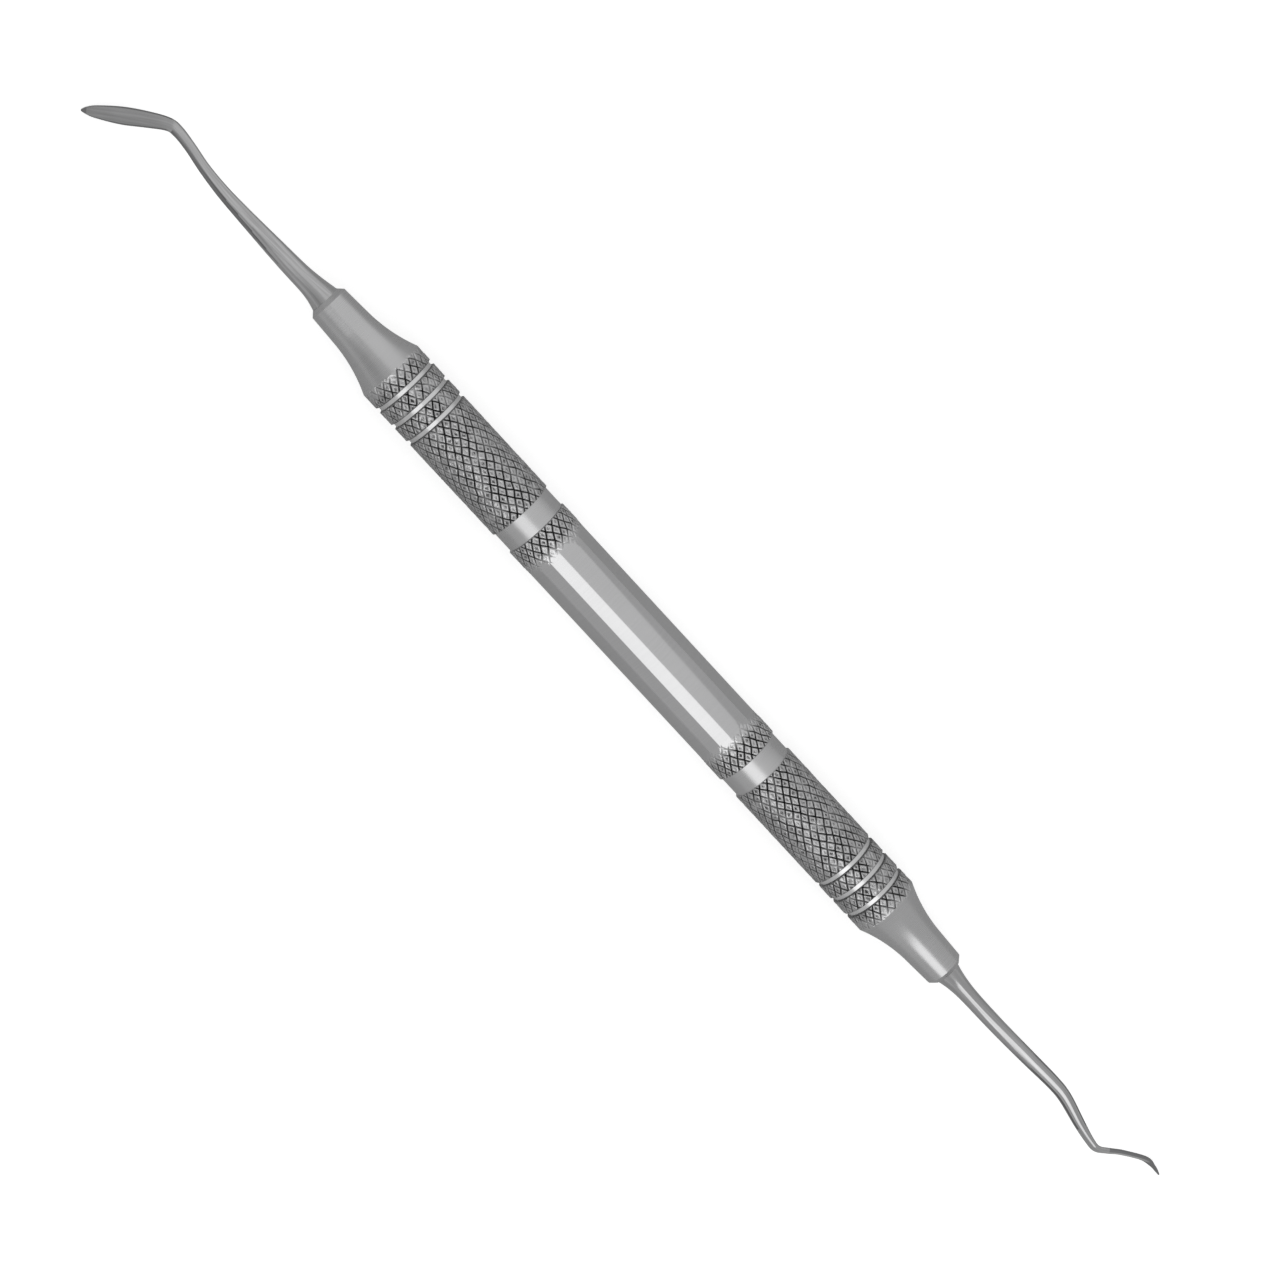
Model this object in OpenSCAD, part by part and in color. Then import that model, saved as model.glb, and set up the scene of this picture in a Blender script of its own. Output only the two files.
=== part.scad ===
/* [Handle] */
// Length of the handle, from one nose corner to the other
handle_l = 101.7; // [98:0.1:112]
// Diameter over the knurling
handle_d = 8; // [7.6:0.1:9]
// Outside diameter of each nose, where the handle ends
nose_d = 4.7; // [4.4:0.1:5.2]
// How much smaller in diameter the smooth barrel is than the knurling
barrel_step = 0.15; // [0.1:0.05:0.4]
// How much smaller in diameter the plain bands are than the knurling
band_step = 0.44; // [0.2:0.02:0.6]

/* [Barrel] */
// Length of the barrel tube, knurled rings included
barrel_l = 34.8; // [32:0.2:38]
// Length of each short knurled ring at the barrel's ends
ring_l = 2.7; // [2:0.1:4]
// Wall of the barrel tube, measured at the knurled rings
barrel_wall = 1; // [0.8:0.05:1.2]
// How far each grip's spigot goes into the barrel
spigot_l = 6; // [4:0.5:10]

/* [Grips] */
// Length of the plain band beside the barrel
band_l = 2.65; // [2:0.05:4]
// Wall of the grip's spigot
spigot_wall = 0.6; // [0.5:0.05:0.9]
// Number of grooves turned round each grip
groove_count = 3; // [1:1:4]
// Distance from one groove to the next
groove_pitch = 2.42; // [2.2:0.02:2.8]
// Distance from the nose corner to the groove nearest to it
groove_from_nose = 12.22; // [11.5:0.02:14]
// Width of a groove at the surface
groove_w = 0.66; // [0.3:0.02:1]
// Share of a groove's width that is flat, at its bottom
groove_flat = 0.66; // [0.2:0.02:0.9]
// Depth of a groove
groove_depth = 0.3; // [0.1:0.01:0.45]
// Radius of the hollow curve that leads from the knurling to the nose
nose_curve_r = 18; // [16:1:19]
// Length of the nearly straight part of the nose
nose_straight_l = 3.6; // [3:0.1:4.2]
// How steeply the straight part narrows, in degrees
nose_taper = 2.7; // [1:0.1:4]
// Chamfer round the nose's end
nose_chamfer = 0.55; // [0.3:0.05:0.7]

/* [Working ends] */
// Diameter of the tang that is pressed into the nose
tang_d = 2.2; // [1.8:0.1:2.4]
// How deep the tang goes into the nose
tang_l = 10; // [7:0.5:11]
// How much wider than the shank its root is, where it meets the nose
root_flare = 0.6; // [0.2:0.05:0.6]
// Length over which the root narrows to the shank
root_flare_l = 6; // [3:0.25:8]
// Share of the blade's width that is flat, between its two bevelled edges
blade_flat = 0.82; // [0.4:0.02:0.9]

/* [Hidden] */
$fn = 96;

handle_r = handle_d / 2;
barrel_r = handle_r - barrel_step / 2;
band_r = handle_r - band_step / 2;
nose_x = handle_l / 2;
nose_end_x = nose_x + nose_chamfer;
nose_end_r = nose_d / 2 - nose_chamfer;
joint_x = barrel_l / 2;
band_end_x = joint_x + band_l;
barrel_bore_r = handle_r - barrel_wall;
tang_r = tang_d / 2;
tang_start_x = nose_end_x - tang_l;

// The straight part of the nose ends where the hollow curve takes over, tangent to it
curve_start_x = nose_x - nose_straight_l;
curve_start_r = nose_d / 2 + nose_straight_l * tan(nose_taper);
curve_centre_x = curve_start_x + nose_curve_r * sin(nose_taper);
curve_centre_r = curve_start_r + nose_curve_r * cos(nose_taper);

// Each working end is a row of sections from the nose to the tip. A section is
// [distance along the handle's axis, sideways, height as a share of the handle's radius,
//  half width, half thickness, how far the round shank has turned into a flat blade]
LEFT_SECTIONS = [
    [0, 0, 0, 1.17, 1.15, 0],
    [1.5, 0, 0, 1.19, 1.1, 0],
    [4.6, -0.15, 0, 1.19, 1, 0.05],
    [7.9, -0.2, 0, 1.08, 0.92, 0.1],
    [10.3, -0.22, 0, 0.97, 0.85, 0.15],
    [13.1, -0.23, 0.01, 0.85, 0.76, 0.2],
    [16.1, -0.18, 0.04, 0.74, 0.66, 0.25],
    [19.1, 0.07, 0.06, 0.65, 0.56, 0.3],
    [21.8, 0.5, 0.08, 0.63, 0.46, 0.4],
    [23.9, 0.68, 0.07, 0.68, 0.38, 0.6],
    [25.2, 0.42, -0.01, 0.75, 0.34, 0.85],
    [27.1, -0.92, -0.24, 0.9, 0.3, 1],
    [29.2, -2.62, -0.52, 0.97, 0.27, 1],
    [31.3, -4.33, -0.8, 0.7, 0.2, 1],
    [32.1, -5, -0.91, 0.43, 0.15, 1],
    [32.55, -5.42, -0.97, 0.12, 0.08, 1]
];
RIGHT_SECTIONS = [
    [0, 0, 0, 1.05, 0.94, 0],
    [1.5, 0, 0, 1.05, 0.94, 0],
    [5.6, -0.04, 0, 1.04, 0.92, 0.05],
    [9.6, 0, 0, 1, 0.89, 0.05],
    [14.1, 0.15, 0.01, 0.95, 0.85, 0.1],
    [17.9, 0.3, 0.04, 0.85, 0.78, 0.15],
    [20.2, 0.16, 0.07, 0.8, 0.71, 0.2],
    [23.6, -0.66, 0.1, 0.65, 0.58, 0.3],
    [26, -1.14, 0.1, 0.6, 0.4, 0.4],
    [27.3, -1.15, 0.06, 0.62, 0.32, 0.6],
    [28.6, -0.34, -0.05, 0.76, 0.26, 0.85],
    [30.1, 0.67, -0.21, 0.88, 0.22, 1],
    [32.8, 2.02, -0.54, 0.8, 0.2, 1],
    [34.5, 2.2, -0.75, 0.36, 0.14, 1],
    [35.5, 2.12, -0.88, 0.2, 0.1, 1],
    [36.1, 2.04, -0.97, 0.08, 0.06, 1]
];
// The way each blade's flat side looks: the left one up, the right one sideways
LEFT_FACE = [0, 0, 1];
RIGHT_FACE = [0, -1, 0.55];

STEPS_PER_SECTION = 3;
RING_POINTS = 16;
FLARE_POWER = 3;
// How far a tang runs on into its shank, and how far a cut starts outside the surface
TANG_JOIN = 0.3;
CUT_START = 0.01;
ROUNDING = 0.001;

// A smooth curve through b and c, with its neighbours a and d
function between(a, b, c, d, t) =
    0.5 * (2 * b + (c - a) * t + (2 * a - 5 * b + 4 * c - d) * t ^ 2 + (3 * b - a - 3 * c + d) * t ^ 3);

function unit(v) = v / norm(v);
function place(s) = [nose_end_x + s[0], s[1], s[2] * handle_r];
function flare(s) = root_flare * max(0, 1 - s[0] / root_flare_l) ^ FLARE_POWER;

// All the sections, with those worked out between the given ones
function fill_in(sections) =
    let (last = len(sections) - 1)
    [
        for (i = [0 : last - 1], step = [0 : STEPS_PER_SECTION - 1])
            between(
                sections[max(i - 1, 0)],
                sections[i],
                sections[i + 1],
                sections[min(i + 2, last)],
                step / STEPS_PER_SECTION
            ),
        sections[last]
    ];

// Point j of a section's outline, for a half width and a half thickness of 1
function round_point(angle) = [cos(angle), sin(angle)];
function blade_point(angle) =
    let (u = cos(angle), v = sin(angle), corner = sin(45))
    abs(v) > corner - ROUNDING
        ? [blade_flat * u / corner, sign(v)]
        : [sign(u) * (1 - (1 - blade_flat) * abs(v) / corner), v / corner];

function ring(s, along, face) =
    let (
        out = unit(face - (face * along) * along),
        across = cross(out, along),
        extra = flare(s)
    )
    [
        for (j = [0 : RING_POINTS - 1])
            let (
                angle = 360 * j / RING_POINTS,
                p = (1 - s[5]) * round_point(angle) + s[5] * blade_point(angle)
            )
            place(s) + across * p[0] * (s[3] + extra) + out * p[1] * (s[4] + extra)
    ];

// One closed solid through all the sections
module swept_end(sections, face) {
    all = fill_in(sections);
    last = len(all) - 1;
    points = [
        for (i = [0 : last])
            each ring(all[i], unit(place(all[min(i + 1, last)]) - place(all[max(i - 1, 0)])), face)
    ];
    walls = [
        for (i = [0 : last - 1], j = [0 : RING_POINTS - 1])
            let (k = (j + 1) % RING_POINTS, a = i * RING_POINTS, b = a + RING_POINTS)
            each [[a + j, b + k, a + k], [a + j, b + j, b + k]]
    ];
    root_cap = [for (j = [0 : RING_POINTS - 1]) j];
    tip_cap = [for (j = [RING_POINTS - 1 : -1 : 0]) last * RING_POINTS + j];
    polyhedron(points, concat(walls, [root_cap, tip_cap]), convexity = 4);
}

module along_handle() {
    rotate([0, 90, 0]) children();
}

module tang() {
    along_handle() translate([0, 0, tang_start_x]) cylinder(h = tang_l + TANG_JOIN, r = tang_r);
}

module grip_outline() {
    difference() {
        polygon([
            [barrel_bore_r - spigot_wall, joint_x - spigot_l],
            [barrel_bore_r, joint_x - spigot_l],
            [barrel_bore_r, joint_x],
            [band_r, joint_x],
            [band_r, band_end_x],
            [handle_r, band_end_x],
            [handle_r, curve_start_x],
            [curve_start_r, curve_start_x],
            [nose_d / 2, nose_x],
            [nose_end_r, nose_end_x],
            [tang_r, nose_end_x],
            [tang_r, tang_start_x],
            [barrel_bore_r - spigot_wall, tang_start_x]
        ]);
        translate([curve_centre_r, curve_centre_x]) circle(r = nose_curve_r);
        for (i = [0 : groove_count - 1])
            translate([handle_r, nose_x - groove_from_nose - i * groove_pitch])
                polygon([
                    [CUT_START, -groove_w / 2],
                    [-groove_depth, -groove_w * groove_flat / 2],
                    [-groove_depth, groove_w * groove_flat / 2],
                    [CUT_START, groove_w / 2]
                ]);
    }
}

module grip() {
    along_handle() rotate_extrude() grip_outline();
}

module barrel() {
    color("gainsboro") along_handle() rotate_extrude() difference() {
        translate([barrel_bore_r, -joint_x]) square([handle_r - barrel_bore_r, barrel_l]);
        translate([barrel_r, ring_l - joint_x]) square([barrel_wall, barrel_l - 2 * ring_l]);
    }
}

module right_grip() {
    color("silver") grip();
}

module left_grip() {
    color("silver") mirror([1, 0, 0]) grip();
}

module right_working_end() {
    color("darkgray") union() {
        swept_end(RIGHT_SECTIONS, RIGHT_FACE);
        tang();
    }
}

module left_working_end() {
    color("darkgray") mirror([1, 0, 0]) union() {
        swept_end(LEFT_SECTIONS, LEFT_FACE);
        tang();
    }
}

barrel();
left_grip();
right_grip();
left_working_end();
right_working_end();
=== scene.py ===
import math

import bmesh
import bpy
from mathutils import Matrix, Vector, noise


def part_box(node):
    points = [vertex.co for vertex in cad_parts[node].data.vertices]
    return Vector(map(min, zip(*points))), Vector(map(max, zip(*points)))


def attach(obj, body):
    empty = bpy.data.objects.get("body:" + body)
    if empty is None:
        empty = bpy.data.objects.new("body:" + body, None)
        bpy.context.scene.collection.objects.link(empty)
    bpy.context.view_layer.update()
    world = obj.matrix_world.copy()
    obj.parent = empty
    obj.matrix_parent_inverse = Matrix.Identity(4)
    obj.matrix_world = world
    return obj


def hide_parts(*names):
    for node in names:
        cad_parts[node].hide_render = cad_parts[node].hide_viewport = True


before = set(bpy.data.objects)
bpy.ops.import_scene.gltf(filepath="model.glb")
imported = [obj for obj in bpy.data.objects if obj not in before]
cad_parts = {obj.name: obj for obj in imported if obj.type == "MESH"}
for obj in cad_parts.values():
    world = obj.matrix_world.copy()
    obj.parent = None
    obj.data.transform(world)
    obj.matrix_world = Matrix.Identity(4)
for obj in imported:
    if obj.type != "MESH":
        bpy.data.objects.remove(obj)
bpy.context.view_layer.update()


# ---- Barrel ----
# The plain tube in the middle of the handle, which both grips are pressed into.
# Stainless steel, turned and polished to a mirror, with a short knurled ring rolled
# into each end before the ends were faced.

MM = 0.001  # sizes here are in millimetres, and the frame is in metres
HANDLE_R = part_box("barrel")[1].z / MM
BARREL_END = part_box("barrel")[1].x / MM
BARREL_R = HANDLE_R - 0.075
BARREL_BORE_R = HANDLE_R - 1
BARREL_EDGE = 0.06  # the broken corner at each end of the tube
EDGE_FALL = 2.5  # how far a broken corner falls inward, for each millimetre along
RING_PLAIN = BARREL_END - 3.5  # where the first trace of the ring's knurling shows
RING_FULL = BARREL_END - 2.1  # where it reaches its full depth
RING_BLANK = 0.3  # plain edge left on the sheet before the first trace
RING_BLEND = 0.5  # and from there to the plain round of the barrel
RING_RAGGED, RING_RAGS = 0.25, 2  # how unevenly the ring begins, and its patches per millimetre

KNURL_STARTS = 24  # lines each way round the handle
KNURL_PITCH = 1.46  # length of one diamond along the handle
# From the bottom of a knurled groove over a diamond's crest to the pit in its middle, as
# [width, rise, how unevenly it comes out]
KNURL_DEPTH = 0.16
KNURL_FLANK = [0.1, 0.11, 0]
KNURL_CREST = [0.09, 0.05, 0.04]
KNURL_TOP = [0.05, 0, 0.02]
KNURL_PIT = [0.08, -0.02, 0.06]
KNURL_WANDER = 0.18  # how far the lines stray from their true places
KNURL_SHIFT = 0.06  # how far a pit sits from the middle of its diamond
KNURL_WAVES = 0.9  # how often the lines stray, per millimetre
WEAR_PATCHES = 1.9  # patches of wear per millimetre
SHIFT_PATCHES = 1.7
KNURL_SEED = 24
noise.seed_set(KNURL_SEED)  # so that the unevenness comes out the same each time
COLUMNS = 4 * KNURL_STARTS  # evenly spaced points round the handle
ON_COLUMN = 0.01  # points this near to one of them, as a share of their spacing, are on it
HANDLE_ROUND = 2 * math.pi * HANDLE_R
NEAR = 0.001  # points closer than this are one
SHARP_ANGLE = math.radians(30)

# Which of a piece's finishes a face has
STEEL = 0
KNURL = 1


def everything(bm):
    return bm.verts[:] + bm.edges[:] + bm.faces[:]


def cut(bm, place, across, **clear):
    """Cuts right through the work at one place, and takes away what lies past it if told to."""
    at = Vector(across) * place
    bmesh.ops.bisect_plane(bm, geom=everything(bm), dist=NEAR / 4, plane_co=at, plane_no=across, **clear)


def uneven(flat_place, per_mm):
    """Smooth chance, about -0.5 to 0.5 each way, that meets itself where the sheet's seam closes."""
    turn = flat_place.y / HANDLE_R
    on_handle = Vector((flat_place.x, HANDLE_R * math.sin(turn), HANDLE_R * math.cos(turn)))
    return noise.noise_vector(on_handle * per_mm)


def knurled_sheet(start, end, plain_level, rolled_at):
    """A flat sheet of diamonds, from start to end along the handle and once round it.

    rolled_at says how far the knurling is formed at a place, from 0 to 1. Where it is 0 the
    sheet lies at plain_level.
    """
    rows = math.ceil((end - start) / KNURL_PITCH) + KNURL_STARTS + 2
    diamond = Vector((KNURL_PITCH, HANDLE_ROUND / KNURL_STARTS, 0)) / math.sqrt(2)
    bm = bmesh.new()
    bmesh.ops.create_grid(bm, x_segments=rows, y_segments=rows, size=rows / 2)
    bmesh.ops.rotate(bm, verts=bm.verts, matrix=Matrix.Rotation(math.radians(45), 3, "Z"))
    bmesh.ops.scale(bm, verts=bm.verts, vec=(diamond.x, diamond.y, 1))
    bmesh.ops.translate(bm, verts=bm.verts, vec=((start + end) / 2, 0, -KNURL_DEPTH))

    for v in bm.verts:
        v.co.xy += uneven(v.co, KNURL_WAVES).xy * KNURL_WANDER
    tops = bm.faces[:]
    for width, rise, wear in (KNURL_FLANK, KNURL_CREST, KNURL_TOP, KNURL_PIT):
        bmesh.ops.inset_individual(bm, faces=tops, thickness=width, depth=rise, use_even_offset=True)
        for top in tops:
            for v in top.verts:
                v.co.z -= min(1, abs(uneven(v.co, WEAR_PATCHES).z) * 2) * wear
    for top in tops:
        shift = uneven(top.calc_center_median(), SHIFT_PATCHES).xy * KNURL_SHIFT
        for v in top.verts:
            v.co.xy += shift

    # groove: how deep a point lies in the knurling, which the knurled finishes paint as shade
    groove, rolled = (bm.verts.layers.float.new(name) for name in ("groove", "rolled"))
    for v in bm.verts:
        v[rolled] = rolled_at(v.co)
        v[groove] = -v.co.z / KNURL_DEPTH * v[rolled]
        v.co.z = v.co.z * v[rolled] + plain_level * (1 - v[rolled])
    for f in bm.faces:
        f.material_index = KNURL

    half = HANDLE_ROUND / 2
    cut(bm, start, (1, 0, 0), clear_inner=True)
    cut(bm, end, (1, 0, 0), clear_outer=True)
    cut(bm, half, (0, 1, 0), clear_outer=True)
    cut(bm, -half, (0, 1, 0), clear_inner=True)
    for column in range(1, COLUMNS):
        cut(bm, half - column * HANDLE_ROUND / COLUMNS, (0, 1, 0))
    return bm


def roll_up(bm):
    """Rolls the flat sheet round the handle's axis and closes its seam."""
    for v in bm.verts:
        turn, r = v.co.y / HANDLE_R, HANDLE_R + v.co.z
        v.co.y, v.co.z = r * math.sin(turn), r * math.cos(turn)
    bmesh.ops.remove_doubles(bm, verts=bm.verts, dist=NEAR)


def rim_at(bm, x):
    return [e for e in bm.edges if e.is_boundary and all(abs(v.co.x - x) < NEAR for v in e.verts)]


def turn_on(bm, start, outline, close=False):
    """Carries the open rim at start along an outline of [x, radius], as a lathe tool would."""
    rim = rim_at(bm, start)
    for step, (x, r) in enumerate(outline):
        made = bmesh.ops.extrude_edge_only(bm, edges=rim)["geom"]
        ring = [v for v in made if isinstance(v, bmesh.types.BMVert)]
        for v in ring:
            out = Vector((0, v.co.y, v.co.z)).normalized() * r
            v.co = (x, out.y, out.z)
        for f in made:
            if isinstance(f, bmesh.types.BMFace):
                f.material_index = STEEL
        if step == 0:  # beyond the knurling only the evenly spaced points go on
            column = 2 * math.pi / COLUMNS
            turns = [(v, math.atan2(v.co.y, v.co.z) / column) for v in ring]
            extra = [v for v, t in turns if abs(t - round(t)) > ON_COLUMN]
            bmesh.ops.dissolve_verts(bm, verts=extra)
            ring = [v for v in ring if v.is_valid]
        rim = list(dict.fromkeys(e for v in ring for e in v.link_edges if e.is_boundary))
    if close:
        bmesh.ops.holes_fill(bm, edges=rim, sides=0)


def make_piece(name, bm, materials, stands_for):
    """Turns the finished work into a piece of the model, in place of its plain CAD node."""
    bmesh.ops.recalc_face_normals(bm, faces=bm.faces)
    bmesh.ops.scale(bm, verts=bm.verts, vec=(MM, MM, MM))
    mesh = bpy.data.meshes.new(name)
    bm.to_mesh(mesh)
    bm.free()
    for material in materials:
        mesh.materials.append(material)
    mesh.shade_smooth()
    mesh.set_sharp_from_angle(angle=SHARP_ANGLE)
    piece = bpy.data.objects.new(name, mesh)
    bpy.context.scene.collection.objects.link(piece)
    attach(piece, "root")
    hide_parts(stands_for)


def node(tree, kind, **settings):
    made = tree.nodes.new(kind)
    for key, value in settings.items():
        setattr(made, key, value)
    return made


def fine_marks(tree, spread, detail=3, grain=None):
    """Noise stretched by a different amount along each axis, in marks per metre, or along a grain."""
    if grain:
        place = node(tree, "ShaderNodeAttribute", attribute_name=grain).outputs["Vector"]
    else:
        place = node(tree, "ShaderNodeTexCoord").outputs["Object"]
    stretch = node(tree, "ShaderNodeMapping")
    stretch.inputs["Scale"].default_value = spread
    marks = node(tree, "ShaderNodeTexNoise")
    marks.inputs["Scale"].default_value = 1
    marks.inputs["Detail"].default_value = detail
    tree.links.new(place, stretch.inputs["Vector"])
    tree.links.new(stretch.outputs["Vector"], marks.inputs["Vector"])
    return marks.outputs["Fac"]


def spread_over(tree, value, low, high, from_low=0.3, from_high=0.7):
    """A value from from_low to from_high, carried over to low to high."""
    ramp = node(tree, "ShaderNodeMapRange")
    ramp.inputs["From Min"].default_value = from_low
    ramp.inputs["From Max"].default_value = from_high
    ramp.inputs["To Min"].default_value = low
    ramp.inputs["To Max"].default_value = high
    tree.links.new(value, ramp.inputs["Value"])
    return ramp.outputs["Result"]


def steel(name, shade, gloss, marks, mark_depth, streak=0.96, grain=None):
    """Bare stainless steel: fine tool marks, faint handling smears and a slightly uneven shine.

    gloss is the roughness from the cleanest to the most smeared place, and streak is how much
    of the shade is left in the darkest tool mark.
    """
    material = bpy.data.materials.new(name)
    material.use_nodes = True
    tree = material.node_tree
    shader = tree.nodes["Principled BSDF"]
    shader.inputs["Metallic"].default_value = 1
    tool = fine_marks(tree, marks, grain=grain)
    smears = fine_marks(tree, SMEAR_SIZE, 4)

    tone = node(tree, "ShaderNodeMix", data_type="RGBA")
    tone.inputs["A"].default_value = (*[c * SMEARED for c in shade], 1)
    tone.inputs["B"].default_value = (*shade, 1)
    tree.links.new(spread_over(tree, smears, 0, 1), tone.inputs["Factor"])
    marked = node(tree, "ShaderNodeVectorMath", operation="SCALE")
    tree.links.new(tone.outputs["Result"], marked.inputs[0])
    tree.links.new(spread_over(tree, tool, streak, 1), marked.inputs["Scale"])
    tree.links.new(marked.outputs["Vector"], shader.inputs["Base Color"])

    low, high = gloss
    rough = node(tree, "ShaderNodeMath", operation="ADD")
    tree.links.new(spread_over(tree, smears, low, high), rough.inputs[0])
    tree.links.new(spread_over(tree, tool, 0, (high - low) / 2), rough.inputs[1])
    tree.links.new(rough.outputs["Value"], shader.inputs["Roughness"])

    bump = node(tree, "ShaderNodeBump")
    bump.inputs["Strength"].default_value = 1
    bump.inputs["Distance"].default_value = mark_depth
    tree.links.new(tool, bump.inputs["Height"])
    tree.links.new(bump.outputs["Normal"], shader.inputs["Normal"])
    return material


SMEAR_SIZE = (90, 220, 220)
SMEARED = 0.94  # share of the shade that is left under a smear
TURNED_MARKS = (9000, 120, 120)
PLAIN_STEEL = (0.60, 0.60, 0.605)
polished_steel = steel("polished_steel", PLAIN_STEEL, (0.07, 0.11), TURNED_MARKS, 0.0000003)


def knurled_like(name, plain, top_shade):
    """The same steel where it is knurled: broken, duller tops, with painted shade darkening the grooves
    between them.
    """
    material = plain.copy()
    material.name = name
    tree = material.node_tree
    shader = tree.nodes["Principled BSDF"]
    rolled = node(tree, "ShaderNodeAttribute", attribute_name="rolled").outputs["Fac"]
    groove = node(tree, "ShaderNodeAttribute", attribute_name="groove").outputs["Fac"]
    flecks = fine_marks(tree, FLECK_SIZE, 2)

    # painted shade, darker the deeper the point lies in the knurling
    shaded_groove_tone = node(tree, "ShaderNodeMix", data_type="RGBA")
    shaded_groove_tone.inputs["A"].default_value = (*top_shade, 1)
    shaded_groove_tone.inputs["B"].default_value = (*PAINTED_GROOVE_SHADE, 1)
    tree.links.new(spread_over(tree, groove, 0, 1, GROOVE_SHADE_FROM, GROOVE_SHADE_FULL), shaded_groove_tone.inputs["Factor"])
    tone = node(tree, "ShaderNodeMix", data_type="RGBA")
    tree.links.new(rolled, tone.inputs["Factor"])
    tree.links.new(shader.inputs["Base Color"].links[0].from_socket, tone.inputs["A"])
    tree.links.new(shaded_groove_tone.outputs["Result"], tone.inputs["B"])
    tree.links.new(tone.outputs["Result"], shader.inputs["Base Color"])

    rough = node(tree, "ShaderNodeMix", data_type="FLOAT")
    tree.links.new(rolled, rough.inputs["Factor"])
    tree.links.new(shader.inputs["Roughness"].links[0].from_socket, rough.inputs["A"])
    tree.links.new(spread_over(tree, flecks, *KNURL_GLOSS), rough.inputs["B"])
    tree.links.new(rough.outputs["Result"], shader.inputs["Roughness"])

    pitted = node(tree, "ShaderNodeBump")
    pitted.inputs["Distance"].default_value = FLECK_DEPTH
    tree.links.new(rolled, pitted.inputs["Strength"])
    tree.links.new(flecks, pitted.inputs["Height"])
    tree.links.new(shader.inputs["Normal"].links[0].from_socket, pitted.inputs["Normal"])
    tree.links.new(pitted.outputs["Normal"], shader.inputs["Normal"])
    return material


# Painted shade: knurled points are painted darker the deeper they lie in the grooves and pits
PAINTED_GROOVE_SHADE = (0.04, 0.04, 0.04)
GROOVE_SHADE_FROM, GROOVE_SHADE_FULL = 0.1, 0.72  # shares of the knurling's depth where the painted shade starts, and is full
KNURL_GLOSS = (0.15, 0.42)
FLECK_SIZE = (3500, 5000, 5000)
FLECK_DEPTH = 0.00007
ring_knurl_steel = knurled_like("ring_knurl_steel", polished_steel, (0.67, 0.67, 0.675))


def ring_rolled(place):
    """The knurling rolls in unevenly over its last millimetre."""
    reach = place.x + RING_RAGGED * uneven(Vector((0, place.y, 0)), RING_RAGS).x
    share = (reach - RING_PLAIN) / (RING_FULL - RING_PLAIN)
    return min(1, max(0, share))


ring_start = RING_PLAIN - RING_BLANK
ring_end = BARREL_END - BARREL_EDGE
barrel = knurled_sheet(ring_start, ring_end, BARREL_R - HANDLE_R, ring_rolled)
roll_up(barrel)
turn_on(barrel, ring_start, [[ring_start - RING_BLEND, BARREL_R], [0, BARREL_R]])
barrel_face = [[BARREL_END, HANDLE_R - EDGE_FALL * BARREL_EDGE], [BARREL_END, BARREL_BORE_R + BARREL_EDGE]]
turn_on(barrel, ring_end, barrel_face + [[ring_end, BARREL_BORE_R], [0, BARREL_BORE_R]])
bmesh.ops.mirror(barrel, geom=everything(barrel), merge_dist=NEAR, axis="X")
make_piece("barrel_tube", barrel, [polished_steel, ring_knurl_steel], "barrel")


# ---- Grips ----
# The two knurled halves of the handle, each pressed into the barrel by a hollow spigot.
# Stainless steel, knurled over its length, then turned: a plain band at the joint,
# three narrow grooves, and a long hollow curve down to the slim nose.

GRIP_BAND_R = HANDLE_R - 0.22
GRIP_BAND_L = 2.65
GRIP_EDGE = 0.05  # the broken corner where the knurling ends
SPIGOT_L = 6
SPIGOT_BORE_R = BARREL_BORE_R - 0.6
GROOVE_PLACES = [33.8, 36.22, 38.64]
GROOVE_HALF = 0.33  # half a groove's width at the top
GROOVE_FLOOR = 0.22  # and at its flat floor
GROOVE_DEPTH = 0.3
NOSE_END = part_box("right_grip")[1].x / MM
NOSE_CHAMFER = 0.55
NOSE_R = 2.35
NOSE_TAPER = math.radians(2.7)
NOSE_STRAIGHT = 3.6
NOSE_CURVE_R = 18
TANG_R = 1.1
TANG_L = 10
TANG_WALL = 1  # the steel between the tang's hole and the grip's hollow

curve_start_x = NOSE_END - NOSE_CHAMFER - NOSE_STRAIGHT
curve_start_r = NOSE_R + NOSE_STRAIGHT * math.tan(NOSE_TAPER)
curve_x = curve_start_x + NOSE_CURVE_R * math.sin(NOSE_TAPER)
curve_r = curve_start_r + NOSE_CURVE_R * math.cos(NOSE_TAPER)


def nose_curve(x):
    return curve_r - math.sqrt(NOSE_CURVE_R**2 - (curve_x - x) ** 2)


def nose_curve_place(r):
    return curve_x - math.sqrt(NOSE_CURVE_R**2 - (curve_r - r) ** 2)


def turned_radius(x):
    """The radius that the lathe leaves at x: knurling that stands higher is cut away."""
    off_centre = min(abs(x - groove) for groove in GROOVE_PLACES)
    up_the_wall = (off_centre - GROOVE_FLOOR) / (GROOVE_HALF - GROOVE_FLOOR)
    floor = HANDLE_R - GROOVE_DEPTH * (1 - min(1, max(0, up_the_wall)))
    curve = nose_curve(x) if x > nose_curve_place(HANDLE_R) else HANDLE_R
    return min(floor, curve)


turned_steel = steel("turned_steel", PLAIN_STEEL, (0.22, 0.3), TURNED_MARKS, 0.0000008)
# The turned grooves' floors: a lighter base colour than the rest, as a painted highlight
groove_highlight_steel = steel("groove_painted_highlight_steel", (0.78, 0.78, 0.785), (0.2, 0.3), TURNED_MARKS, 0.0000008)
grip_knurl_steel = knurled_like("grip_knurl_steel", turned_steel, (0.56, 0.56, 0.565))
GROOVE = 2

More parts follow.
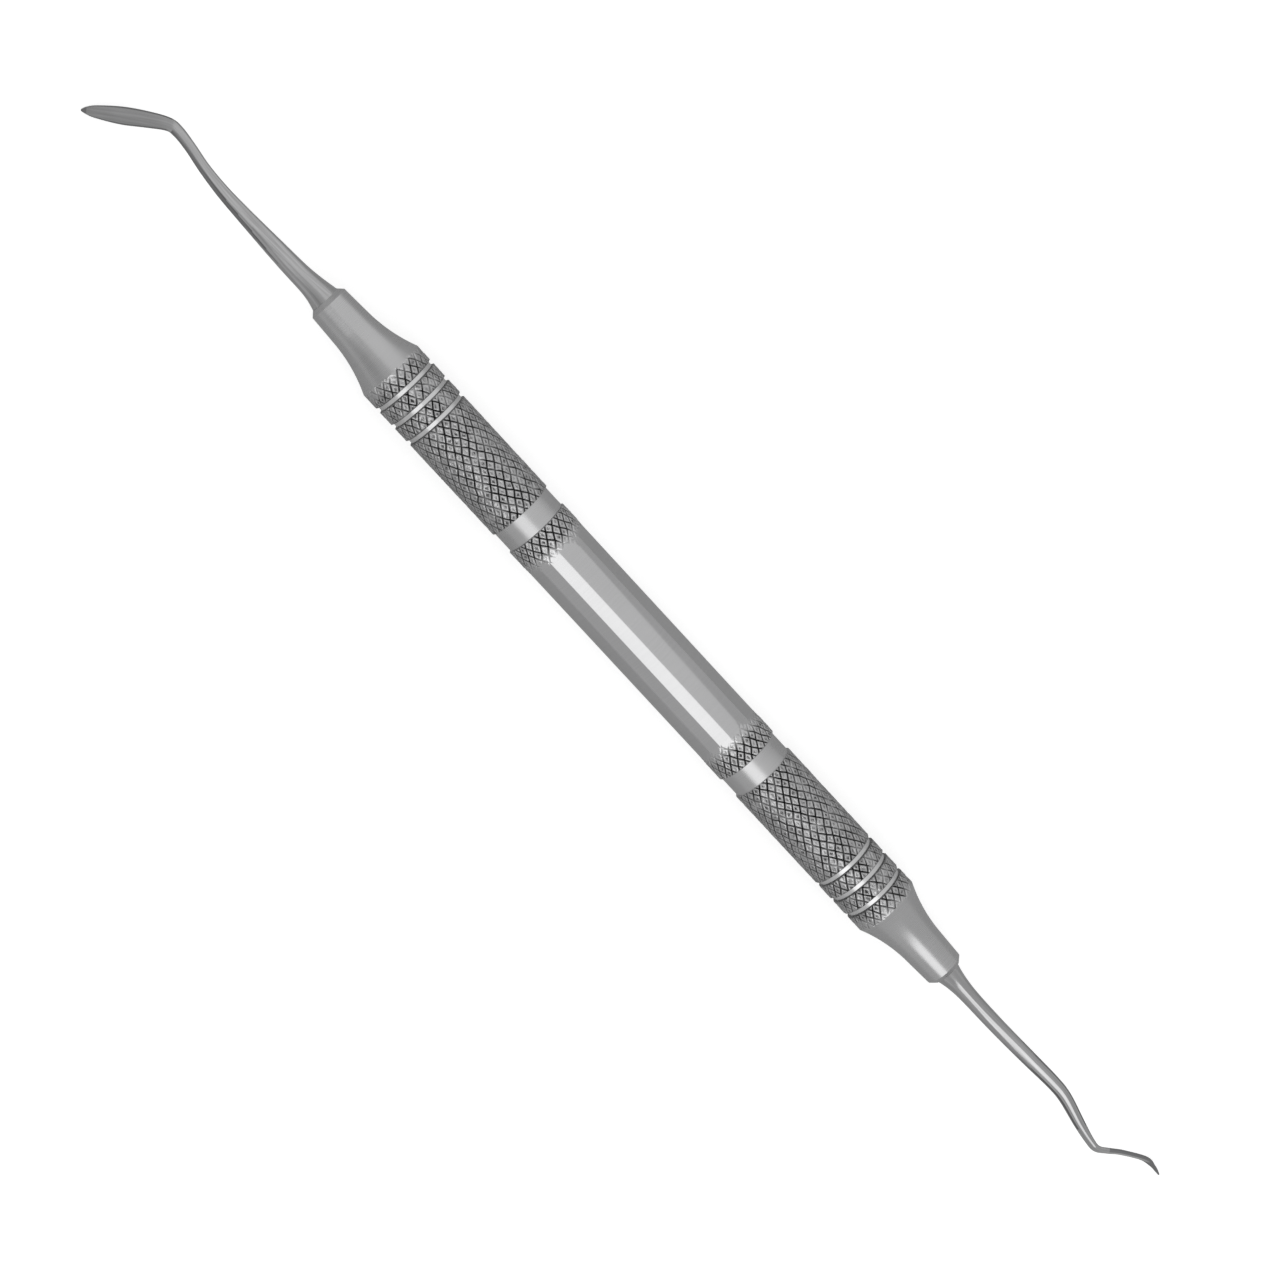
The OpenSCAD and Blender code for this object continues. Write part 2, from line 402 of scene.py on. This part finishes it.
KNURL_FROM = BARREL_END + GRIP_BAND_L
KNURL_TO = nose_curve_place(HANDLE_R - KNURL_DEPTH)
KNURL_WORN = KNURL_TO - 2.2  # from here to the nose curve the knurling is polished down
KNURL_MOST = 0.95  # how fully it is formed before there, patches apart
KNURL_LEAST = 0.15  # the faintest it gets after it
FADE_START, FADE_DROP = 1.15, 0.8
NOSE_STEPS = 16
NOSE_CUTS = 4
WALL_PAINTED_SHADE = 0.5  # how dark the painted shade on a turned groove's walls is, as a share of the knurling's depth
BROAD_WEAR, FINE_WEAR = 1.2, 3  # patches of wear per millimetre


def grip_rolled(place):
    """The knurling is a little worn in patches, and fades towards the nose curve."""
    patchy = 0.5 * uneven(place, BROAD_WEAR).x + 0.5 * uneven(place, FINE_WEAR).y
    if place.x <= KNURL_WORN:
        return min(1, KNURL_MOST + patchy)
    share = FADE_START - (place.x - KNURL_WORN) / (KNURL_TO - KNURL_WORN) * FADE_DROP + patchy
    return min(1, max(KNURL_LEAST, share))


def grip():
    """One grip: its knurled length from a rolled-up sheet, and the rest turned on from there."""
    bm = knurled_sheet(KNURL_FROM + GRIP_EDGE, KNURL_TO, 0, grip_rolled)
    knurl_in_wall = GROOVE_HALF - (GROOVE_HALF - GROOVE_FLOOR) * KNURL_DEPTH / GROOVE_DEPTH
    for groove in GROOVE_PLACES:
        for away in (GROOVE_FLOOR, knurl_in_wall, GROOVE_HALF):
            cut(bm, groove - away, (1, 0, 0))
            cut(bm, groove + away, (1, 0, 0))
    for part in range(NOSE_CUTS):
        cut(bm, nose_curve_place(HANDLE_R - KNURL_DEPTH * part / NOSE_CUTS), (1, 0, 0))
    for v in bm.verts:
        v.co.z = min(v.co.z, turned_radius(v.co.x) - HANDLE_R)
    for f in bm.faces:
        x = f.calc_center_median().x
        if turned_radius(x) < HANDLE_R - NEAR:
            f.material_index = GROOVE if x < GROOVE_PLACES[-1] + 1 else STEEL
        if GROOVE_FLOOR < min(abs(x - place) for place in GROOVE_PLACES) < GROOVE_HALF:
            f.material_index = KNURL  # the walls take the knurling's duller finish, and the painted shade of its grooves
            for v in f.verts:
                v[bm.verts.layers.float["groove"]] = WALL_PAINTED_SHADE
    roll_up(bm)

    curve = [KNURL_TO + (curve_start_x - KNURL_TO) * i / NOSE_STEPS for i in range(1, NOSE_STEPS + 1)]
    nose = [[x, nose_curve(x)] for x in curve]
    nose += [[NOSE_END - NOSE_CHAMFER, NOSE_R], [NOSE_END, NOSE_R - NOSE_CHAMFER]]
    nose += [[NOSE_END, TANG_R], [NOSE_END - TANG_L + TANG_WALL, TANG_R]]
    turn_on(bm, KNURL_TO, nose, close=True)

    spigot_end = BARREL_END - SPIGOT_L
    shoulder = [[KNURL_FROM, HANDLE_R - EDGE_FALL * GRIP_EDGE], [KNURL_FROM, GRIP_BAND_R]]
    shoulder += [[BARREL_END + GRIP_EDGE, GRIP_BAND_R], [BARREL_END, GRIP_BAND_R - GRIP_EDGE]]
    shoulder += [[BARREL_END, BARREL_BORE_R], [spigot_end, BARREL_BORE_R]]
    shoulder += [[spigot_end, SPIGOT_BORE_R], [NOSE_END - TANG_L, SPIGOT_BORE_R]]
    turn_on(bm, KNURL_FROM + GRIP_EDGE, shoulder, close=True)
    return bm


right = grip()
grip_finishes = [turned_steel, grip_knurl_steel, groove_highlight_steel]
make_piece("right_knurled_grip", right, grip_finishes, "right_grip")
left = grip()
bmesh.ops.scale(left, verts=left.verts, vec=(-1, 1, 1))
make_piece("left_knurled_grip", left, grip_finishes, "left_grip")


# ---- Working ends ----
# A bent shank and its blade, forged, ground and polished from one piece of hardened
# stainless steel, and pressed into the nose by its tang. The left blade lies flat and
# the right one, the same pattern turned a quarter, stands on its edge.

# Each row is [distance from the nose, sideways, height as a share of the handle's radius,
#              half width, half thickness, how far the round shank has turned into the flat blade]
LEFT_SECTIONS = [
    [0, 0, 0, 1.17, 1.15, 0],
    [1.5, 0, 0, 1.19, 1.1, 0],
    [4.6, -0.15, 0, 1.19, 1, 0.05],
    [7.9, -0.2, 0, 1.08, 0.92, 0.1],
    [10.3, -0.22, 0, 0.97, 0.85, 0.15],
    [13.1, -0.23, 0.01, 0.85, 0.76, 0.2],
    [16.1, -0.18, 0.04, 0.74, 0.66, 0.25],
    [19.1, 0.07, 0.06, 0.65, 0.56, 0.3],
    [21.8, 0.5, 0.08, 0.63, 0.46, 0.4],
    [23.9, 0.68, 0.07, 0.68, 0.38, 0.6],
    [25.2, 0.42, -0.01, 0.75, 0.34, 0.85],
    [27.1, -0.92, -0.24, 0.9, 0.3, 1],
    [29.2, -2.62, -0.52, 0.97, 0.27, 1],
    [31.3, -4.33, -0.8, 0.7, 0.2, 1],
    [32.1, -5, -0.91, 0.43, 0.15, 1],
    [32.55, -5.42, -0.97, 0.12, 0.08, 1],
]
RIGHT_SECTIONS = [
    [0, 0, 0, 1.05, 0.94, 0],
    [1.5, 0, 0, 1.05, 0.94, 0],
    [5.6, -0.04, 0, 1.04, 0.92, 0.05],
    [9.6, 0, 0, 1, 0.89, 0.05],
    [14.1, 0.15, 0.01, 0.95, 0.85, 0.1],
    [17.9, 0.3, 0.04, 0.85, 0.78, 0.15],
    [20.2, 0.16, 0.07, 0.8, 0.71, 0.2],
    [23.6, -0.66, 0.1, 0.65, 0.58, 0.3],
    [26, -1.14, 0.1, 0.6, 0.4, 0.4],
    [27.3, -1.15, 0.06, 0.62, 0.32, 0.6],
    [28.6, -0.34, -0.05, 0.76, 0.26, 0.85],
    [30.1, 0.67, -0.21, 0.88, 0.22, 1],
    [32.8, 2.02, -0.54, 0.8, 0.2, 1],
    [34.5, 2.2, -0.75, 0.36, 0.14, 1],
    [35.5, 2.12, -0.88, 0.2, 0.1, 1],
    [36.1, 2.04, -0.97, 0.08, 0.06, 1],
]
LEFT_FACE = Vector((0, 0, 1))
RIGHT_FACE = Vector((0, -1, 0.55))
ROOT_FLARE = 0.6
ROOT_FLARE_L = 6
FLARE_POWER = 3
BLADE_FLAT = 0.82
# Flats ground along each shank and its opposite side, as [way it looks round the shank in
# degrees, share of the round radius that is left]
LEFT_FLATS = [[25, 0.8], [-50, 0.8]]
RIGHT_FLATS = [[46, 0.92]]
FLATS_START, FLATS_FULL = 3, 12  # where the flats start, and are fully ground
RING_POINTS = 48
STEPS_PER_SECTION = 6
# Which of a working end's finishes a face has
BLADE = 0
GROUND_AND_SHADE = 1
BELT_AND_SHADE = 2
# Strips along each shank that were dressed again on a belt, with a darker base colour that is painted shade
# on those sides of the shank, by where they lie round it, in degrees
LEFT_BELTS_AND_SHADE = [148]
RIGHT_BELTS_AND_SHADE = [110, 305]
SHADED_BELT_FROM, SHADED_BELT_FULL, SHADED_BELT_TO = 6, 16, 24.5  # where a strip starts, is at its widest, and ends
SHADED_BELT_HALF = 34
EDGE_GROUND_AND_SHADE_FROM = 0.84  # how flat the shank has become where its ground edges start, which are painted darker as painted shade
LEFT_TIP_GROUND_AND_SHADE = 0.4  # length of the tip that is ground all round and painted darker as painted shade
RIGHT_TIP_GROUND_AND_SHADE = 2.4


def between(a, b, c, d, t):
    """A smooth curve through b and c, with its neighbours a and d."""
    return [
        0.5 * (2 * q + (r - p) * t + (2 * p - 5 * q + 4 * r - s) * t**2 + (3 * q - p - 3 * r + s) * t**3)
        for p, q, r, s in zip(a, b, c, d)
    ]


def fill_in(sections):
    last = len(sections) - 1
    rows = []
    for i in range(last):
        four = [sections[max(i - 1, 0)], sections[i], sections[i + 1], sections[min(i + 2, last)]]
        rows += [between(*four, step / STEPS_PER_SECTION) for step in range(STEPS_PER_SECTION)]
    return rows + [sections[last]]


def centre(row):
    return Vector((NOSE_END + row[0], row[1], row[2] * HANDLE_R))


def blade_point(angle):
    """A flat bar with two bevelled edges, for a half width and a half thickness of 1."""
    u, v, corner = math.cos(angle), math.sin(angle), math.sin(math.radians(45))
    if abs(v) > corner - NEAR:
        return BLADE_FLAT * u / corner, math.copysign(1, v)
    return math.copysign(1 - (1 - BLADE_FLAT) * abs(v) / corner, u), v / corner


def ground_point(angle, flats, amount):
    """The round shank with its flats ground on, for a radius of 1."""
    point = Vector((math.cos(angle), math.sin(angle)))
    for turn, left in flats:
        for side in (0, 180):
            looks = Vector((math.sin(math.radians(turn + side)), math.cos(math.radians(turn + side))))
            point -= max(0, point.dot(looks) - 1 + (1 - left) * amount) * looks
    return point


def shape_ring(ring, row, along, face, flats, grain):
    """Lays a ring of points round one row, and notes for each how the steel's grain runs there."""
    out = (face - face.dot(along) * along).normalized()
    across = out.cross(along)
    extra = ROOT_FLARE * max(0, 1 - row[0] / ROOT_FLARE_L) ** FLARE_POWER
    amount = min(1, max(0, (row[0] - FLATS_START) / (FLATS_FULL - FLATS_START)))
    for j, v in enumerate(ring):
        angle = 2 * math.pi * j / RING_POINTS
        flat_u, flat_v = blade_point(angle)
        round_u, round_v = ground_point(angle, flats, amount)
        u = (1 - row[5]) * round_u + row[5] * flat_u
        w = (1 - row[5]) * round_v + row[5] * flat_v
        v.co = centre(row) + across * u * (row[3] + extra) + out * w * (row[4] + extra)
        v[grain] = (row[0] * MM, u * row[3] * MM, w * row[4] * MM)


def working_end(sections, face, flats, tip_ground_and_shade, shaded_belts):
    """A tang, shank and blade, drawn out ring by ring from the tang's inner end to the tip."""
    rows = fill_in(sections)
    tip = rows[-1][0]
    bm = bmesh.new()
    grain = bm.verts.layers.float_vector.new("grain")
    ring = bmesh.ops.create_circle(bm, segments=RING_POINTS, radius=TANG_R)["verts"]
    bmesh.ops.rotate(bm, verts=ring, matrix=Matrix.Rotation(math.radians(90), 3, "Y"))
    bmesh.ops.translate(bm, verts=ring, vec=(NOSE_END - TANG_L + TANG_WALL, 0, 0))
    bmesh.ops.contextual_create(bm, geom=bm.edges[:])
    edges = bm.edges[:]
    order = ring
    for i in range(-1, len(rows)):
        made = bmesh.ops.extrude_edge_only(bm, edges=edges)["geom"]
        fresh = [v for v in made if isinstance(v, bmesh.types.BMVert)]
        partner = {}
        for v in fresh:
            for e in v.link_edges:
                other = e.other_vert(v)
                if other in order:
                    partner[other] = v
        order = [partner[v] for v in order]
        edges = [e for e in made if isinstance(e, bmesh.types.BMEdge) and e.is_boundary]
        if i < 0:
            for v in order:
                v.co.x = NOSE_END
        else:
            row = rows[i]
            ahead, behind = rows[min(i + 1, len(rows) - 1)], rows[max(i - 1, 0)]
            shape_ring(order, row, (centre(ahead) - centre(behind)).normalized(), face, flats, grain)
            shaded_belt_half = SHADED_BELT_HALF * min(1, (row[0] - SHADED_BELT_FROM) / (SHADED_BELT_FULL - SHADED_BELT_FROM))
            for j, v in enumerate(order):
                turn = 360 * (j + 0.5) / RING_POINTS
                on_bevel = abs(math.sin(math.radians(turn))) < math.sin(math.radians(45))
                finish = BLADE
                if row[5] > EDGE_GROUND_AND_SHADE_FROM and on_bevel or tip - row[0] < tip_ground_and_shade:
                    finish = GROUND_AND_SHADE
                elif row[0] < SHADED_BELT_TO and any(abs(turn - shaded_strip) < shaded_belt_half for shaded_strip in shaded_belts):
                    finish = BELT_AND_SHADE
                beside = order[(j + 1) % RING_POINTS]
                for f in v.link_faces:
                    if f in made and beside in f.verts:
                        f.material_index = finish
    cap = bmesh.ops.contextual_create(bm, geom=edges)["faces"]
    for f in cap:
        f.material_index = GROUND_AND_SHADE
    return bm


SHANK_MARKS = (120, 3500, 3500)
BELT_MARKS = (80, 2600, 2600)
GRINDING_MARKS = (2500, 2500, 2500)
blade_steel = steel("blade_steel", PLAIN_STEEL, (0.12, 0.2), SHANK_MARKS, 0.000004, 0.74, "grain")
# Belt-dressed strips: streaky belt marks, and a dark base colour that is painted shade on those sides of
# the shanks
belt_and_shaded_steel = steel("belt_ground_painted_shade_steel", (0.42, 0.42, 0.425), (0.2, 0.3), BELT_MARKS, 0.000008, 0.3, "grain")
# Ground edges and tips: a rougher ground finish, with a dark base colour that is painted shade on the
# bevels and tip
ground_and_shaded_steel = steel("ground_edge_painted_shade_steel", (0.3, 0.3, 0.305), (0.3, 0.4), GRINDING_MARKS, 0.000002)

right_end = working_end(RIGHT_SECTIONS, RIGHT_FACE, RIGHT_FLATS, RIGHT_TIP_GROUND_AND_SHADE, RIGHT_BELTS_AND_SHADE)
end_finishes = [blade_steel, ground_and_shaded_steel, belt_and_shaded_steel]
make_piece("right_shank_and_blade", right_end, end_finishes, "right_working_end")
left_end = working_end(LEFT_SECTIONS, LEFT_FACE, LEFT_FLATS, LEFT_TIP_GROUND_AND_SHADE, LEFT_BELTS_AND_SHADE)
bmesh.ops.scale(left_end, verts=left_end.verts, vec=(-1, 1, 1))
make_piece("left_shank_and_blade", left_end, end_finishes, "left_working_end")


# ---- Table, light and camera ----
# The instrument lies on a plain white table, under a large soft lamp and a wider,
# weaker one, with a pale wall all round.

TABLE_SIZE = 8
TABLE_SHADE = 0.6
TABLE_GLOW = 0.7  # it looks white to the camera, but lights the steel no more than a pale table
table_z = -HANDLE_R * MM
table = bmesh.new()
bmesh.ops.create_grid(table, x_segments=1, y_segments=1, size=TABLE_SIZE / 2)
bmesh.ops.translate(table, verts=table.verts, vec=(0, 0, table_z))
table_mesh = bpy.data.meshes.new("table_top")
table.to_mesh(table_mesh)
table.free()
table_top = bpy.data.objects.new("table_top", table_mesh)
bpy.context.scene.collection.objects.link(table_top)

white_top = bpy.data.materials.new("white_table")
white_top.use_nodes = True
tree = white_top.node_tree
shader = tree.nodes["Principled BSDF"]
shader.inputs["Base Color"].default_value = (TABLE_SHADE, TABLE_SHADE, TABLE_SHADE, 1)
shader.inputs["Roughness"].default_value = 0.9
shader.inputs["Specular IOR Level"].default_value = 0.1
shader.inputs["Emission Color"].default_value = (1, 1, 1, 1)
seen = node(tree, "ShaderNodeLightPath")
glow = node(tree, "ShaderNodeMath", operation="MULTIPLY")
glow.inputs[1].default_value = TABLE_GLOW
tree.links.new(seen.outputs["Is Camera Ray"], glow.inputs[0])
tree.links.new(glow.outputs["Value"], shader.inputs["Emission Strength"])
table_mesh.materials.append(white_top)


def soft_lamp(name, low, high, height, radiance):
    """A level soft box over the table, from one corner to the other."""
    width, depth = high[0] - low[0], high[1] - low[1]
    lamp = bpy.data.lights.new(name, "AREA")
    lamp.shape = "RECTANGLE"
    lamp.size, lamp.size_y = width, depth
    lamp.energy = radiance * math.pi * width * depth
    lamp_object = bpy.data.objects.new(name, lamp)
    lamp_object.location = ((low[0] + high[0]) / 2, (low[1] + high[1]) / 2, height)
    bpy.context.scene.collection.objects.link(lamp_object)


LAMP_HEIGHT = 0.6
soft_lamp("main_soft_box", (0, -0.58), (0.5, 0), LAMP_HEIGHT, 0.9)
soft_lamp("wide_soft_box", (-1, 0), (0.21, 4), LAMP_HEIGHT, 0.22)

WALL_SHADE = 0.53
DIM_SHADE = 0.38
DIM_SIDE = Vector((-0.38, -0.72, 0.58)).normalized()  # where the wall and ceiling are least lit
DIM_FROM, DIM_FULL = 0.88, 0.99  # cosines of the angles from there where the dim starts, and is full
world = bpy.data.worlds.new("pale_room")
world.use_nodes = True
bpy.context.scene.world = world
room = world.node_tree.nodes["Background"]
way = node(world.node_tree, "ShaderNodeTexCoord")
towards = node(world.node_tree, "ShaderNodeVectorMath", operation="DOT_PRODUCT")
towards.inputs[1].default_value = DIM_SIDE
world.node_tree.links.new(way.outputs["Generated"], towards.inputs[0])
dim = spread_over(world.node_tree, towards.outputs["Value"], WALL_SHADE, DIM_SHADE, DIM_FROM, DIM_FULL)
seen = node(world.node_tree, "ShaderNodeLightPath")
pale = node(world.node_tree, "ShaderNodeMix", data_type="FLOAT")
pale.inputs["B"].default_value = 1
world.node_tree.links.new(seen.outputs["Is Camera Ray"], pale.inputs["Factor"])
world.node_tree.links.new(dim, pale.inputs["A"])
world.node_tree.links.new(pale.outputs["Result"], room.inputs["Strength"])
room.inputs["Color"].default_value = (1, 1, 1, 1)

EYE = Vector((-0.08, 0, 0.45))
LOOKS_AT = Vector((-0.00033, 0, 0))
HANDLE_SLOPE = math.radians(47.22)  # how far the handle dips to the right in view
LENS = 116.2
forward = (LOOKS_AT - EYE).normalized()
along_handle = (Vector((1, 0, 0)) - forward.x * forward).normalized()
sideways = -forward.cross(along_handle)
right_of_view = math.cos(HANDLE_SLOPE) * along_handle + math.sin(HANDLE_SLOPE) * sideways
up_in_view = -math.sin(HANDLE_SLOPE) * along_handle + math.cos(HANDLE_SLOPE) * sideways
camera = bpy.data.objects.new("camera", bpy.data.cameras.new("camera"))
camera.data.lens = LENS
camera.matrix_world = Matrix.Translation(EYE) @ Matrix(
    (right_of_view, up_in_view, -forward)
).transposed().to_4x4()
bpy.context.scene.collection.objects.link(camera)
bpy.context.scene.camera = camera
bpy.context.scene.view_settings.view_transform = "Standard"
